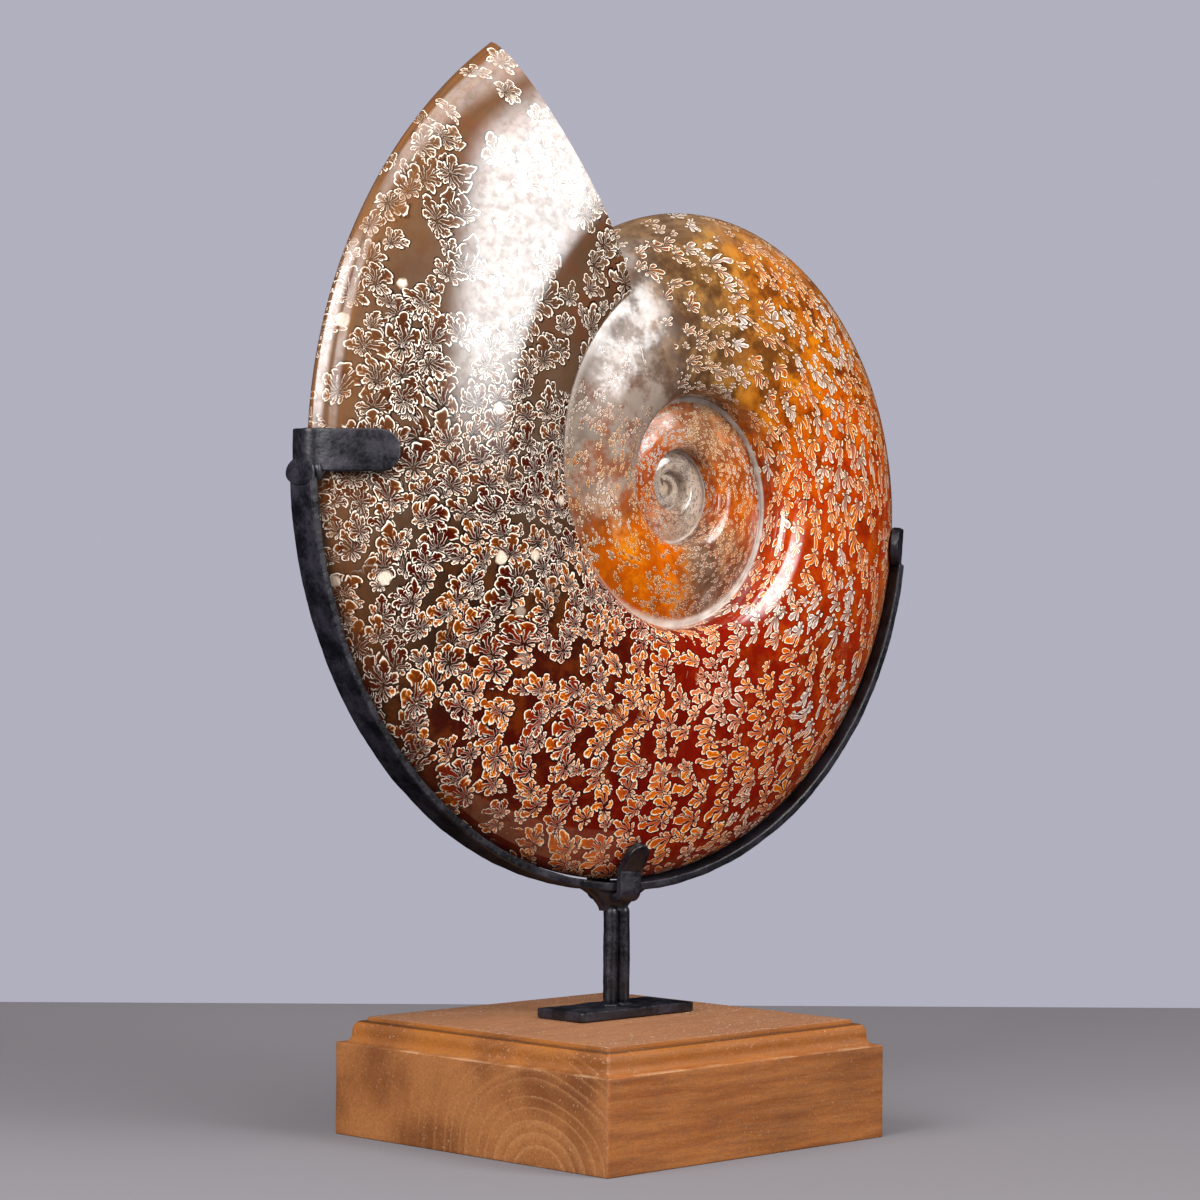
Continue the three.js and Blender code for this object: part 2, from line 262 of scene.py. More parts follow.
def flank_height(angle, share):
    """Half thickness of a whorl, without its wall, by the share of the way from seam to keel: a
    part of the whorl's height that grows inwards, a little less towards the seam, and falling to
    nothing at the keel as a superellipse does."""
    age = np.clip((angle - APERTURE_ANGLE) / TURN, 0, GAIN_TURNS)
    tallest = (THICKNESS_RATIO + THICKNESS_GAIN * age) * (venter_radius(angle) - seam_radius(angle))
    inward = 1 - SEAM_THINNING * np.maximum((THICKEST_AT - share) / THICKEST_AT, 0) ** 2
    outward = clamp01((share - THICKEST_AT) / (1 - THICKEST_AT))
    return tallest * inward * (1 - outward**FLANK_POWER) ** (1 / KEEL_POWER)


def shell_height(angle, share, whorls=TURNS + 1):
    """Half thickness of the shell: the flank, let down to the next whorl in by a wall that has a
    steep round foot and then slopes gently up to the flank."""
    low = shell_height(angle + TURN, BARE_SHARE * seam_fit(angle), whorls - 1) if whorls else 0
    foot = np.sqrt(1 - (1 - clamp01(share / FOOT_WIDTH)) ** 2)
    slope = 1 - (1 - clamp01(share / WALL_WIDTH)) ** SLOPE_POWER
    return low + (flank_height(angle, share) - low) * mix(slope, foot, FOOT_SHARE)


def disc_place(points):
    """Turns the disc about the upright and moves it to its place in the row frame."""
    turn = radians(DISC_TURN)
    x, y, z = np.moveaxis(np.asarray(points, float), -1, 0)
    across = x * np.cos(turn) - y * np.sin(turn)
    along = x * np.sin(turn) + y * np.cos(turn)
    return joined(across, along, z) + np.array(DISC_CENTRE)


def on_disc(patch):
    """Moves a patch with the disc."""
    return disc_place(patch[0]), *patch[1:]


def disc_point(angle, radius, depth=0.0):
    """A point by its angle and radius in the disc's middle plane, and its depth off it."""
    return joined(radius * np.cos(radians(angle)), depth, radius * np.sin(radians(angle)))


def shell_grid(angle, share, side):
    """Points of one flank: radius from seam to venter by the share, depth by the half thickness."""
    radius = mix(seam_radius(angle), venter_radius(angle), share)
    return disc_point(angle, radius, np.where(share >= 1, 0, shell_height(angle, share)) * side)


def flank_coordinates(grid, angle):
    """U is the way across the whorl and V the way along it, both in shares of the local radius."""
    radius = np.hypot(grid[..., 0], grid[..., 2])
    step = np.diff(joined(radius, grid[..., 1]), axis=1)
    length = np.linalg.norm(step, axis=-1) / ((radius[:, 1:] + radius[:, :-1]) / 2)
    across = np.concatenate([np.zeros((len(grid), 1)), np.cumsum(length, axis=1)], axis=1)
    return joined(across, radians(angle))


def eased(count, low, high):
    """Shares from low to high, closer together at both ends."""
    t = np.arange(count + 1) / count
    return mix(low, high, 0.5 * t + 0.5 * (1 - np.cos(math.pi * t)) / 2)


def make_ammonite(finish):
    """Both flanks of every whorl from its seam out, the hub, and the flat face of the aperture.
    The last whorl goes out to the keel, the others as far as the seam that covers them."""
    wall = WALL_WIDTH * (1 - np.cos(np.linspace(0, math.pi / 2, WALL_POINTS)))
    inner_shares = np.concatenate([wall, eased(FLANK_STEPS, WALL_WIDTH, BARE_SHARE)[1:]])
    keel = 1 - (1 - BARE_SHARE) * np.linspace(1, 0, KEEL_POINTS) ** KEEL_CROWDING
    outer_shares = np.concatenate([inner_shares, keel[1:]])
    patches = []
    for side in (-1, 1):
        for turn in range(TURNS):
            shares = outer_shares if turn == 0 else inner_shares
            angles = APERTURE_ANGLE + TURN * (turn + np.arange(STEPS_PER_TURN + 1) / STEPS_PER_TURN)
            angle, share = np.meshgrid(angles, shares, indexing="ij")
            grid = shell_grid(angle, share, side)
            patches.append((disc_place(grid), side > 0, flank_coordinates(grid, angle)))
        patches += hub_patches(inner_shares, side)
        patches.append(aperture_patch(outer_shares, side))
    make_piece("ammonite_shell", "ammonite", finish, patches, crease=50)


def hub_patches(inner_shares, side):
    """A small cone that closes the innermost whorl, and the wedge that starts its coil."""
    last = APERTURE_ANGLE + TURN * (TURNS - 1)
    angles = last + TURN * np.arange(STEPS_PER_TURN + 1) / STEPS_PER_TURN
    rim = shell_grid(angles, np.zeros_like(angles), side)
    start = shell_grid(np.full_like(inner_shares, last + TURN), inner_shares, side)
    hub = np.array([0, side * HUB_DEPTH, 0])
    patches = []
    for edge in (rim, start):
        grid = np.stack([edge, np.broadcast_to(hub, edge.shape)], 1)
        uv = np.full(grid.shape[:2] + (2,), radians(last + TURN))
        patches.append((disc_place(grid), side < 0, uv))
    return patches


def aperture_patch(shares, side):
    """Half of the flat crescent that closes the aperture: from the middle, or from the
    covered whorl where there is one, out to the last whorl's flank."""
    angle = np.full_like(shares, APERTURE_ANGLE, dtype=float)
    edge = shell_grid(angle, shares, side)
    radius = mix(seam_radius(angle), venter_radius(angle), shares)
    foot = seam_radius(FIRST_TURN_END)
    within = (radius - foot) / (venter_radius(FIRST_TURN_END) - foot)
    covered = np.where(within < 1, shell_height(angle + TURN, clamp01(within)), 0)
    steps = np.linspace(0, 1, APERTURE_POINTS)
    x, outer, z = np.moveaxis(edge[:, None], -1, 0)
    inner = side * covered[:, None]
    grid = joined(x, mix(inner, outer, steps), z)
    inset = (1 - steps) * np.abs(outer - inner)
    return disc_place(grid), side < 0, joined(inset * APERTURE_U_PER_MM + APERTURE_U, shares[:, None])


# Iron bars

DEPTH = np.array([0.0, 1.0, 0.0])


def unit(vectors):
    return vectors / np.linalg.norm(vectors, axis=-1, keepdims=True)


def section_ring(corner_steps=6, wide_steps=12, narrow_steps=4):
    """Round a bar's section: shares of its straight parts, then cosine and sine in its corners."""
    corners = ((1, 1), (-1, 1), (-1, -1), (1, -1))
    parts = []
    for k, corner in enumerate(corners):
        turn = np.linspace(k, k + 1, corner_steps + 1) * math.pi / 2
        parts.append(joined(*corner, np.cos(turn), np.sin(turn)))
        steps = narrow_steps if k % 2 else wide_steps
        share = (np.arange(1, steps) / steps)[:, None]
        here = parts[-1][-1]
        there = np.array([*corners[(k + 1) % 4], here[2], here[3]])
        parts.append(mix(here, there, share))
    ring = np.concatenate(parts)
    return np.vstack([ring, ring[:1]])


def spaced(points, spacing, run_in):
    """Places along a path, even in the middle and close together near both ends, and how far
    each of them is from the nearer end."""
    length = np.concatenate([[0], np.cumsum(np.linalg.norm(np.diff(points, axis=0), axis=1))])
    total = length[-1]
    into = run_in * (1 - np.cos(np.linspace(0, math.pi / 2, 13)))
    middle = np.linspace(run_in, total - run_in, max(int((total - 2 * run_in) / spacing), 1) + 1)[1:-1]
    place = np.concatenate([into, middle, total - into[::-1]])
    path = joined(*(np.interp(place, length, coordinate) for coordinate in points.T))
    return path, np.minimum(place, total - place)


def bar_patch(points, across, width, thickness, seed, rounded_tips=False, rounding=BAR_ROUNDING, spacing=1.0):
    """A flat bar: a section with rounded corners carried along a path, its width along `across`,
    with hand-forged lumps. The ends are cut square, or are half circles."""
    half = width / 2
    path, from_end = spaced(points, spacing, half if rounded_tips else rounding)
    through = unit(np.cross(unit(np.gradient(path, axis=0)), across))[:, None]
    inset = rounding * (1 - np.sqrt(1 - clamp01(1 - from_end / rounding) ** 2))
    tip = half * np.sqrt(1 - clamp01(1 - from_end / half) ** 2)
    half_width = np.maximum(tip if rounded_tips else half - inset, 0.05)[:, None]
    half_depth = np.maximum(thickness / 2 - inset, 0.05)[:, None]
    radius = np.minimum(rounding, np.minimum(half_width, half_depth))
    straight_wide, straight_deep, cosine, sine = section_ring().T
    wide = (straight_wide * (half_width - radius) + cosine * radius)[..., None]
    deep = (straight_deep * (half_depth - radius) + sine * radius)[..., None]
    centre = path[:, None]
    grid = centre + wide * across + deep * through
    outward = cosine[:, None] * across + sine[:, None] * through
    grid = grid + outward * relief(grid, FORGED, seed)[..., None]
    start = [mix(centre[:1], grid[:1], share) for share in (0, 0.5)]
    end = [mix(centre[-1:], grid[-1:], share) for share in (0.5, 0)]
    return np.concatenate([*start, grid, *end]), False, None


def bead_patch(centre, axes, seed):
    """A blob of weld metal: an ellipsoid along three half axes, pushed in and out by lumps."""
    polar, around = np.meshgrid(np.linspace(0, math.pi, 17), np.linspace(0, math.tau, 33), indexing="ij")
    ball = joined(np.sin(polar) * np.cos(around), np.sin(polar) * np.sin(around), np.cos(polar))
    size = np.linalg.norm(axes, axis=1).mean()
    swell = 1 + 0.1 * lumps(ball * size, size * 1.3, seed)
    swell[:, -1] = swell[:, 0]
    swell[[0, -1]] = 1
    return centre + (ball * swell[..., None]) @ np.array(axes), True, None


def flank_at(x, z):
    """Half thickness of the shell over a place in the disc's plane that the last whorl covers."""
    radius = np.hypot(x, z)
    around = np.degrees(np.arctan2(z, x)) % TURN
    angle = np.where(around < APERTURE_ANGLE, around + TURN, around)
    share = (radius - seam_radius(angle)) / (venter_radius(angle) - seam_radius(angle))
    return np.where(share < 1, shell_height(angle, clamp01(share)), 0)


def claw_axes(angle):
    """A place on the venter, and the directions along the venter and inwards from it."""
    bottom = disc_point(angle, venter_radius(angle))
    along = unit(disc_point(angle + 1, venter_radius(angle + 1)) - bottom)
    return bottom, along, np.cross(along, DEPTH)


def claw_patch(angle, under, shoulder, reach, width, thickness, seed, bend=2.2):
    """A flat bar bent to a U around the venter: a straight back, two round bends, and an arm on
    each flank that keeps an even gap from the shell."""
    bottom, along, inward = claw_axes(angle)
    turn = np.linspace(0, math.pi / 2, 12)
    corner_depth = bend * (1 - np.cos(turn)) - under
    corner_side = shoulder - bend * (1 - np.sin(turn))
    depth = np.linspace(bend - under, reach, 60)
    edges = np.linspace(-0.5, 0.5, 5)[:, None, None] * width * along
    under_arm = bottom + depth[:, None] * inward + edges
    flank = flank_at(under_arm[..., 0], under_arm[..., 2]).max(0)
    arm = np.maximum(flank + CLAW_GAP + thickness / 2, shoulder)
    half_depth = np.concatenate([corner_depth, depth[1:]])
    half_side = np.concatenate([corner_side, arm[1:]])
    path_depth = np.concatenate([half_depth[::-1], half_depth])[:, None]
    path_side = np.concatenate([-half_side[::-1], half_side])[:, None]
    path = bottom + path_depth * inward + path_side * DEPTH
    return on_disc(bar_patch(path, along, width, thickness, seed, rounded_tips=True, spacing=0.7))


def weld_bead(angle, depth, side, along_by, sizes, seed):
    """A weld blob near a claw, placed and sized along the venter, inwards and sideways."""
    bottom, along, inward = claw_axes(angle)
    axes = np.array([along * sizes[0], DEPTH * sizes[2], inward * sizes[1]])
    return on_disc(bead_patch(bottom + along * along_by + inward * depth + DEPTH * side, axes, seed))


def side_claw(angle, reach, seed, *beads):
    """A claw at an end of the cradle band, with its weld beads."""
    under = BAND_GAP + CLAW_THICKNESS / 2
    shoulder = (BAR_WIDTH - CLAW_THICKNESS) / 2
    bar = claw_patch(angle, under, shoulder, reach, CLAW_HEIGHT, CLAW_THICKNESS, seed)
    return [bar] + [weld_bead(angle, *bead) for bead in beads]


def degrees_of_arc(length, angle):
    """The angle that a length along the keel takes up."""
    return np.degrees(length / venter_radius(angle))


def make_stand(finish):
    """The iron stand: cradle band, three claws, weld flare, two rods and a foot plate."""
    half = CLAW_HEIGHT / 2
    start = LEFT_CLAW_ANGLE + degrees_of_arc(half - 1.5, LEFT_CLAW_ANGLE)
    end = RIGHT_CLAW_ANGLE - degrees_of_arc(half - 1.5, RIGHT_CLAW_ANGLE)
    angle = np.linspace(start, end, 400)
    path = disc_point(angle, venter_radius(angle) + BAND_GAP + BAR_THICKNESS / 2)
    band = on_disc(bar_patch(path, DEPTH, BAR_WIDTH, BAR_THICKNESS, 3))
    make_piece("cradle_band_bar", "cradle_band", finish, [band])

    left_beads = (
        (-2.6, 4.6, half - 1, (3.4, 1.9, 2.6), 5),
        (-0.6, -6.6, half, (3.2, 1.7, 1.5), 6),
        (-4.3, 0, half - 0.3, (5.0, 0.6, 8.0), 8),
    )
    right_bead = (-2.3, -2, -half, (2.6, 2.1, 4.6), 7)
    left = side_claw(LEFT_CLAW_ANGLE, LEFT_CLAW_REACH, 11, *left_beads)
    right = side_claw(RIGHT_CLAW_ANGLE, RIGHT_CLAW_REACH, 21, right_bead)
    make_piece("left_claw_bar", "left_claw", finish, left)
    make_piece("right_claw_bar", "right_claw", finish, right)

    under = BAND_GAP + BAR_THICKNESS + WELD_GAP + BAR_THICKNESS / 2
    shoulder = (BAR_WIDTH + BAR_THICKNESS) / 2 + WELD_GAP
    prongs = claw_patch(STEM_ANGLE, under, shoulder, PRONG_REACH, PRONG_WIDTH, BAR_THICKNESS, 31, bend=2.8)
    make_piece("bottom_claw_bar", "bottom_claw", finish, [prongs])
    make_piece("weld_flare_metal", "weld_flare", finish, [flare_patch()])

    plate_low = BASE_HEIGHT + 0.1
    plate_high = BASE_HEIGHT + WELD_GAP + PLATE_SIZE[2]
    middle = np.array([STEM_X, STEM_Y, (plate_low + plate_high) / 2])
    ends = middle + np.outer([-0.5, 0.5], [PLATE_SIZE[0], 0, 0])
    plate = bar_patch(ends, DEPTH, PLATE_SIZE[1], plate_high - plate_low, 41, rounding=0.8)
    make_piece("foot_plate_bar", "foot_plate", finish, [plate])

    for seed, side, node in ((51, -1, "stem_rod_left"), (61, 1, "stem_rod_right")):
        centre = np.array([STEM_X + side * (ROD_DIAMETER + WELD_GAP) / 2, STEM_Y, 0])
        ends = centre + np.outer([plate_high - 0.6, ROD_TOP + 2], [0, 0, 1])
        rod = bar_patch(ends, DEPTH, ROD_DIAMETER, ROD_DIAMETER, seed, rounding=ROD_DIAMETER / 2 - 0.01)
        foot = bead_patch(centre + [0, 0, plate_high], np.diag([3.9, 3.9, 1.0]), seed + 1)
        make_piece(node + "_iron", node, finish, [rod, foot])


def flare_patch():
    """Weld metal between the rods and the band. Upwards its section grows from the two rods'
    outline to a long rounded bar, along a hollow curve, and its top follows the band."""
    middle = venter_radius(STEM_ANGLE) * math.cos(radians(STEM_ANGLE))
    floor = ROD_TOP + WELD_GAP - DISC_CENTRE[2]

    def under_band(x):
        angle = TURN - np.degrees(np.arccos(x / venter_radius(STEM_ANGLE)))
        return -np.sqrt((venter_radius(angle) + BAND_GAP + BAR_THICKNESS) ** 2 - x**2)

    foot = ROD_DIAMETER + WELD_GAP / 2
    t = np.linspace(0, 1, 25)[:, None]
    reach = (1 - t) ** 2 * foot + 2 * t * (1 - t) * (foot + 2) + t**2 * FLARE_REACH
    rise = 2 * t * (1 - t) * 4 + t**2 * (under_band(middle + FLARE_REACH) - 1 - floor)
    rise = rise / rise[-1]
    around = np.linspace(0, math.tau, 65)
    cosine, sine = np.cos(around), np.sin(around)
    x = middle + reach * np.sign(cosine) * np.abs(cosine) ** 0.8
    depth = mix(ROD_DIAMETER / 2, FLARE_DEPTH / 2 + 0.8, smooth(t * 1.3))
    y = depth * np.sign(sine) * np.abs(sine) ** 0.7
    z = floor - 0.6 + rise * (under_band(x) + 1.2 - floor)
    grid = joined(x, y, z)
    outward = unit(joined(cosine, sine, 0))
    grid = grid + outward * relief(grid, WELDED, 71)[..., None]
    grid[:, -1] = grid[:, 0]
    centre = grid[:, :-1].mean(1, keepdims=True)
    low = [mix(centre[:1], grid[:1], share) for share in (0, 0.6)]
    high = [mix(centre[-1:], grid[-1:], share) for share in (0.6, 0)]
    return disc_place(np.concatenate([*low, grid, *high])), False, None


# Plinth


def arc(centre, radii, start, end, steps=12):
    """Part of an ellipse, from one angle to another in degrees."""
    turn = radians(np.linspace(start, end, steps + 1))
    return joined(centre[0] + radii[0] * np.cos(turn), centre[1] + radii[1] * np.sin(turn))


def plinth_profile():
    """Half width and height up the plinth's side: block, ledge, cove, straight, ovolo, step and
    fillet. The block's and the fillet's edges are worn round."""
    half = BASE_WIDTH / 2
    worn = (WORN_EDGE, WORN_EDGE)
    cove_top = BASE_BLOCK_HEIGHT + COVE[1]
    ovolo_middle = half - LEDGE_WIDTH - COVE[0] - OVOLO[0]
    top_half = ovolo_middle - STEP_WIDTH
    fillet = [(0, FILLET_HEIGHT), (0, 0.3), (0.09, 0.09), (0.3, 0)]
    parts = [
        arc((half - WORN_EDGE, WORN_EDGE), worn, -90, 0, steps=4),
        joined(half, np.linspace(2, BASE_BLOCK_HEIGHT - 2, 12)),
        arc((half - WORN_EDGE, BASE_BLOCK_HEIGHT - WORN_EDGE), worn, 0, 90, steps=4),
        arc((half - LEDGE_WIDTH, cove_top), COVE, 270, 180),
        arc((ovolo_middle, cove_top + STRAIGHT_HEIGHT), OVOLO, 0, 90),
        np.array([top_half, BASE_HEIGHT]) - fillet,
    ]
    return np.concatenate(parts)


def make_plinth(finish):
    """The plinth's profile carried round a square with rounded corners, and closed at both ends
    by smaller and smaller squares."""
    profile = plinth_profile()
    straight_x, straight_y, cosine, sine = section_ring(corner_steps=5, wide_steps=60, narrow_steps=60).T
    half, height = profile[:, :1], profile[:, 1:]
    x = straight_x * (half - CORNER_ROUNDING) + cosine * CORNER_ROUNDING
    y = straight_y * (half - CORNER_ROUNDING) + sine * CORNER_ROUNDING
    grid = joined(x, y, height)
    outward = unit(joined(straight_x + 0.01 * cosine, straight_y + 0.01 * sine, 0))
    wear = relief(grid, WORN, 81)
    wear[:, -1] = wear[:, 0]
    grid = grid + outward * wear[..., None]
    shares = (0, 0.25, 0.5, 0.75, 0.97)
    underside = [grid[:1] * [share, share, 1] for share in shares]
    top = [grid[-1:] * [share, share, 1] for share in reversed(shares)]
    patch = np.concatenate([*underside, grid, *top]), False, None
    make_piece("wood_base_block", "wood_base", finish, [patch], crease=35)


# Node tools


def arithmetic(operation, backwards=False):
    """A method that adds a Math node."""

    def method(self, *others):
        return self.graph.math(operation, *((*others, self) if backwards else (self, *others)))

    return method


class Wire:
    """A value on its way between shader nodes. Arithmetic on it adds Math nodes."""

    def __init__(self, graph, socket):
        self.graph = graph
        self.socket = socket

    __abs__ = arithmetic("ABSOLUTE")
    __add__ = __radd__ = arithmetic("ADD")
    __sub__ = arithmetic("SUBTRACT")
    __rsub__ = arithmetic("SUBTRACT", backwards=True)
    __mul__ = __rmul__ = arithmetic("MULTIPLY")
    __truediv__ = arithmetic("DIVIDE")


class Graph:
    """A node tree in the making."""

    def __init__(self, tree):
        self.tree = tree

    def node(self, kind, **settings):
        made = self.tree.nodes.new(kind)
        for setting, value in settings.items():
            setattr(made, setting, value)
        return made

    def feed(self, socket, value):
        """Joins a wire to a socket, or sets the socket to a number, vector or colour."""
        if isinstance(value, Wire):
            self.tree.links.new(value.socket, socket)
        elif hasattr(value, "__len__") and len(socket.default_value) == 4:
            socket.default_value = (*value[:3], 1)
        else:
            socket.default_value = value

    def fill(self, node, inputs):
        """Feeds several inputs of a node, by name or number."""
        for name, value in inputs.items():
            self.feed(node.inputs[name], value)
        return node

    def run(self, kind, output, inputs, **settings):
        """Adds a node, feeds its inputs, and gives the wire from one output."""
        made = self.fill(self.node(kind, **settings), inputs)
        return Wire(self, made.outputs[output])

    def math(self, operation, *values):
        return self.run("ShaderNodeMath", 0, dict(enumerate(values)), operation=operation)

    def low(self, a, b):
        return self.math("MINIMUM", a, b)

    def high(self, a, b):
        return self.math("MAXIMUM", a, b)

    def length(self, a, b):
        return self.math("SQRT", a * a + b * b)

    def vector(self, operation, *values):
        return self.run("ShaderNodeVectorMath", 0, dict(enumerate(values)), operation=operation)

    def scaled(self, vector, factor):
        return self.run("ShaderNodeVectorMath", 0, {0: vector, "Scale": factor}, operation="SCALE")

    def parts(self, vector):
        split = self.fill(self.node("ShaderNodeSeparateXYZ"), {0: vector})
        return [Wire(self, output) for output in split.outputs]

    def join(self, x, y, z=0.0):
        return self.run("ShaderNodeCombineXYZ", 0, {0: x, 1: y, 2: z})

    def band(self, value, low, high, to_low=0.0, to_high=1.0):
        """A value taken softly from one range to another, and held at both ends."""
        inputs = {"Value": value, "From Min": low, "From Max": high, "To Min": to_low, "To Max": to_high}
        return self.run("ShaderNodeMapRange", 0, inputs, interpolation_type="SMOOTHSTEP")

    def noise(self, vector, scale, detail=2.0, roughness=0.5, output=0):
        inputs = {"Vector": vector, "Scale": scale, "Detail": detail, "Roughness": roughness}
        return self.run("ShaderNodeTexNoise", output, inputs)

    def blend(self, share, first, second):
        return self.run("ShaderNodeMix", 2, {"Factor": share, 6: first, 7: second}, data_type="RGBA")

    def ramp(self, value, stops):
        """A colour for each place along a value from 0 to 1."""
        made = self.node("ShaderNodeValToRGB")
        points = made.color_ramp.elements
        while len(points) < len(stops):
            points.new(0.5)
        for point, (place, colour) in zip(points, stops):
            point.position = place
            point.color = (*colour, 1)
        self.feed(made.inputs[0], value)
        return Wire(self, made.outputs[0])

    def use(self, group, **inputs):
        """Places a group, and gives its outputs as wires by name."""
        made = self.fill(self.node("ShaderNodeGroup", node_tree=group), inputs)
        return {output.name: Wire(self, output) for output in made.outputs}


SOCKETS = {"value": "NodeSocketFloat", "vector": "NodeSocketVector", "colour": "NodeSocketColor"}


def new_group(name, inputs, outputs):
    """A new group's graph, its input wires, and a call that closes it and gives the group. Inputs
    and outputs hold the names of sockets by kind."""
    tree = bpy.data.node_groups.new(name, "ShaderNodeTree")
    for way, sockets in (("INPUT", inputs), ("OUTPUT", outputs)):
        for kind, labels in sockets.items():
            for label in labels.split():
                tree.interface.new_socket(label, in_out=way, socket_type=SOCKETS[kind])
    graph = Graph(tree)
    entry = graph.node("NodeGroupInput")
    wires = [Wire(graph, entry.outputs[label]) for label in " ".join(inputs.values()).split()]

    def close(**results):
        graph.fill(graph.node("NodeGroupOutput"), results)
        return tree

    return graph, wires, close


def new_material(name):
    """A material, its graph, its shader, and a wire with the place in the model."""
    material = bpy.data.materials.new(name)
    material.use_nodes = True
    g = Graph(material.node_tree)
    spot = g.run("ShaderNodeTexCoord", "Object", {})
    return material, g, material.node_tree.nodes["Principled BSDF"], spot


def add_bump(g, surface, height, strength, distance):
    bump = g.run("ShaderNodeBump", 0, {"Strength": strength, "Distance": distance, "Height": height})
    g.feed(surface.inputs["Normal"], bump)


def srgb(red, green, blue):
    """A colour as it looks on a screen, from 0 to 255, in the renderer's linear values."""
    return tuple(((c / 255 + 0.055) / 1.055) ** 2.4 if c > 10 else c / 3294.6 for c in (red, green, blue))


# Sutures

# One leaf, in shares of its cell
LEAF_TURN = 0.9
ROOT_BACK = 0.2
FINGERS = 7
FINGER_REACH = 0.45
FORWARD_REACH = 0.19
FINGER_GAP = 0.018
LOBES = 5
STALK = 0.17
SLIMNESS = 1.3
# Parts of a finger, in shares of its reach
KNOT = 0.56
LOBE_REACH = 0.25
LOBE_FORWARD = 0.14
LOBE_FULLNESS = 0.86
CLUB = 0.2
# Paint, by the depth in from a leaf's outline
RIM = (-0.055, -0.012)
RIM_COLOUR = (0.008, 0.003, 0.002)
EDGE_SOFTNESS = 0.005
HEART = (0.01, 0.036)


def dice(g, cell, number, output="Value"):
    """A random value or colour of the cell's own."""
    return g.run("ShaderNodeTexWhiteNoise", output, {"Vector": cell, "W": number}, noise_dimensions="4D")


def fan(g, x, y, count):
    """Parts the plane into equal sectors round the origin: a sector's number, the way across and
    ahead from its middle line, the distance out, and how far forward the sector points."""
    step = math.tau / count
    way = g.math("ARCTAN2", x, y)
    number = g.math("ROUND", way / step)
    off = way - number * step
    out = g.length(x, y)
    forward = g.math("COSINE", number * step)
    return number, off, out * g.math("SINE", off), out * g.math("COSINE", off), out, forward


def suture_leaf():
    """One frilled leaf in each unit cell, turned by the heading from +Y. Fingers fan out from a
    palm, the forward ones longer, and each finger ends in a fan of lobes with round tips, or in
    one club where frill is 0. Depth is the distance in from the outline, negative outside it, tip
    is the way out along a finger, and chance is a number of the cell's own."""
    g, (place, seed, heading, palm, frill), close = new_group(
        "Suture leaf", {"vector": "place", "value": "seed heading palm frill"}, {"value": "depth tip chance"}
    )
    cell = g.vector("FLOOR", place)
    tilt, size, chance = g.parts(dice(g, cell, seed, "Color"))
    across, along, _ = g.parts(g.vector("SUBTRACT", place, cell))
    across = across - 0.5
    along = along - 0.5
    border = 0.5 - g.high(abs(across), abs(along))
    turn = (tilt - 0.5) * LEAF_TURN + heading
    cosine = g.math("COSINE", turn)
    sine = g.math("SINE", turn)
    plain = 1.0 - frill
    x = (across * cosine - along * sine) * (plain * SLIMNESS + 1.0)
    y = across * sine + along * cosine + ROOT_BACK
    size = size * 0.3 + 0.8

    finger, off, side, ahead, out, forward = fan(g, x, y, FINGERS)
    luck = dice(g, cell, finger + seed + 0.37)
    reach = forward * (plain * 0.2 + FORWARD_REACH) + (FINGER_REACH - plain * 0.12)
    reach = reach * size * (luck * 0.35 + 0.8)
    gap = out * g.math("SINE", math.pi / FINGERS - abs(off)) - FINGER_GAP
    knot = reach * KNOT
    lobe, _, beside, beyond, from_knot, forward = fan(g, side, ahead - knot, LOBES)
    luck = dice(g, cell, finger * 17 + lobe + seed + 0.71)
    lobe_reach = (forward * LOBE_FORWARD + LOBE_REACH) * reach * (luck * 0.4 + 0.82)
    tip_radius = lobe_reach * (math.sin(math.pi / LOBES) * LOBE_FULLNESS)
    shaft = lobe_reach - tip_radius
    beyond = beyond - shaft
    half_width = tip_radius * g.low(beyond / shaft * 0.7 + 1.0, 1.0)
    depth = half_width - g.length(beside, g.high(beyond, 0.0))
    stalk = (ahead * 0.5 + knot * 0.5) * STALK - abs(side)
    depth = g.high(g.high(depth, g.low(stalk, knot * 1.1 - ahead)), lobe_reach * 0.45 - from_knot)
    club = reach * CLUB
    beyond = ahead - reach * (1 - CLUB)
    half_width = club * g.low(beyond / reach + 1.0, 1.0)
    club = half_width - g.length(side, g.high(beyond, 0.0))
    depth = g.high(depth * frill + club * plain, reach * palm - out)
    depth = g.low(g.low(depth, gap), border)
    fine = g.low(g.band(out, 0.02, reach * 0.7, 0.35, 1.0), g.band(lobe_reach, 0.04, 0.15, 0.5, 1.0))
    return close(depth=depth / fine, tip=out / reach, chance=chance)


